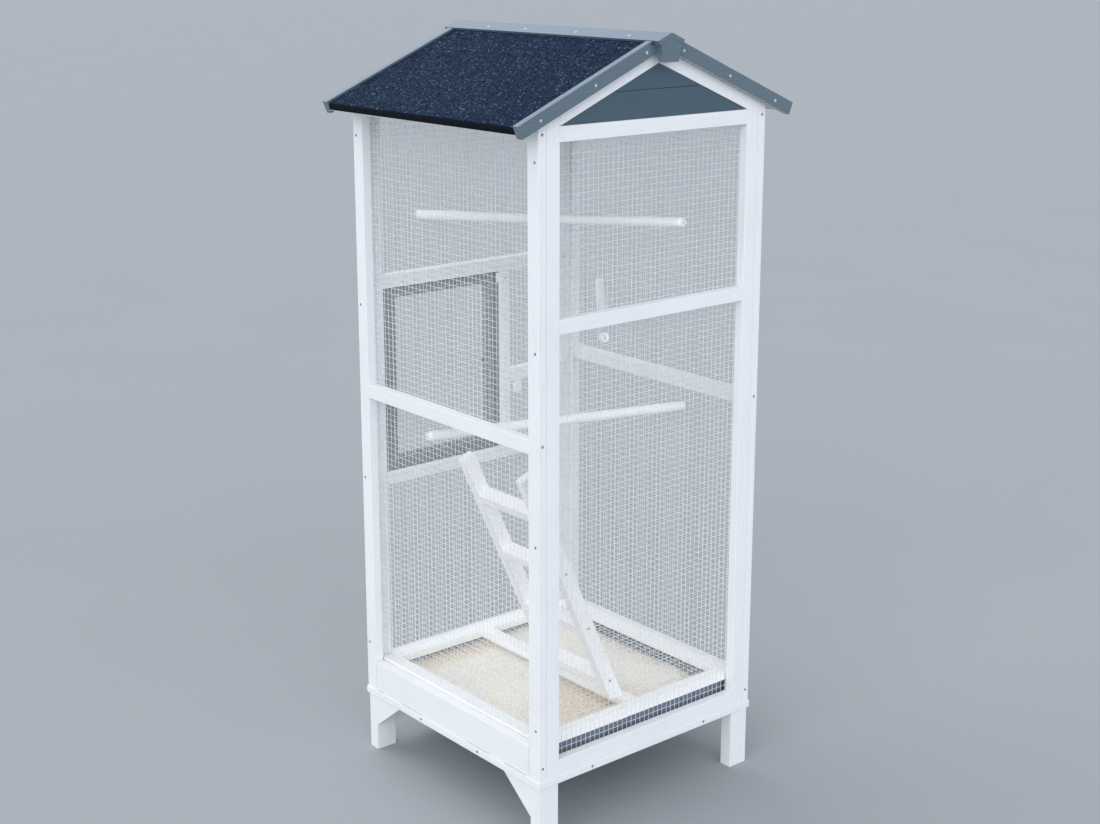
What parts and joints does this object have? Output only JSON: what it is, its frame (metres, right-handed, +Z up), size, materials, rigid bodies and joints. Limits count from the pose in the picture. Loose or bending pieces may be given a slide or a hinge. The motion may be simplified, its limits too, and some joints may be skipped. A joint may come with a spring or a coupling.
{
  "type": "aviary",
  "caption": "Timber and welded-mesh aviary on short legs, with a pitched felt roof, a mesh door with a slide bolt, a pull-out tray under a floor grid, perches and a ladder.",
  "frame": {"origin": "on the ground under the middle of the part's box", "axes": "+Z up, -Y the door side, +X the side the tray pulls out of"},
  "size_m": [0.725, 0.675, 1.6174],
  "materials": {
    "white_paint": "fir, satin white paint",
    "grey_paint": "fir, grey-green paint",
    "slate_paint": "fir, slate paint",
    "felt": "board under dark mineral roofing felt",
    "mesh_wire": "galvanised welded mesh",
    "zinc": "bright zinc plate",
    "tray_metal": "dark coated sheet steel"
  },
  "bodies": {
    "cage": {"barge_back": "slate_paint", "barge_front": "slate_paint", "board_left_bottom": "white_paint", "bolt_keeper": "zinc", "door_post": "white_paint", "floor_grid": "white_paint", "gusset_back_left": "white_paint", "gusset_back_right": "white_paint", "gusset_front_left": "white_paint", "gusset_front_right": "white_paint", "hinge_high_fixed": "zinc", "hinge_low_fixed": "zinc", "ladder": "white_paint", "ledge": "white_paint", "leg_back_left": "white_paint", "leg_back_right": "white_paint", "leg_front_left": "white_paint", "leg_front_right": "white_paint", "mesh_back": "mesh_wire", "mesh_front": "mesh_wire", "mesh_left": "mesh_wire", "mesh_right": "mesh_wire", "perch_high": "white_paint", "perch_low": "white_paint", "perch_middle": "white_paint", "rafters_back": "white_paint", "rafters_front": "white_paint", "rail_back_bottom": "white_paint", "rail_back_middle": "white_paint", "rail_back_top": "white_paint", "rail_door_head": "white_paint", "rail_door_sill": "white_paint", "rail_front_bottom": "white_paint", "rail_front_top": "white_paint", "rail_left_middle": "white_paint", "rail_left_top": "white_paint", "rail_right_middle": "white_paint", "rail_right_top": "white_paint", "ridge_cap": "slate_paint", "roof_left": "felt", "roof_right": "felt", "siding_back": "grey_paint", "siding_front": "grey_paint", "stile_back_left": "white_paint", "stile_back_right": "white_paint", "stile_front_left": "white_paint", "stile_front_right": "white_paint", "stile_left_back": "white_paint", "stile_left_front": "white_paint", "stile_right_back": "white_paint", "stile_right_front": "white_paint", "stretcher_front": "white_paint"},
    "door": {"door_frame": "grey_paint", "door_mesh": "mesh_wire", "hinge_high_moving": "zinc", "hinge_low_moving": "zinc", "bolt_plate": "zinc"},
    "bolt": {"bolt": "zinc"},
    "tray": {"tray": "tray_metal", "tray_front": "white_paint"}
  },
  "joints": [
    {"name": "door_hinge", "type": "hinge", "parent": "cage", "child": "door", "pos_m": [0.2475, -0.3066, 0.8525], "axis": [0, 0, 1], "range_deg": [0, 110]},
    {"name": "bolt_slide", "type": "slide", "parent": "door", "child": "bolt", "axis": [-1, 0, 0], "range_m": [0, 0.011]},
    {"name": "tray_slide", "type": "slide", "parent": "cage", "child": "tray", "axis": [1, 0, 0], "range_m": [0, 0.42]}
  ]
}
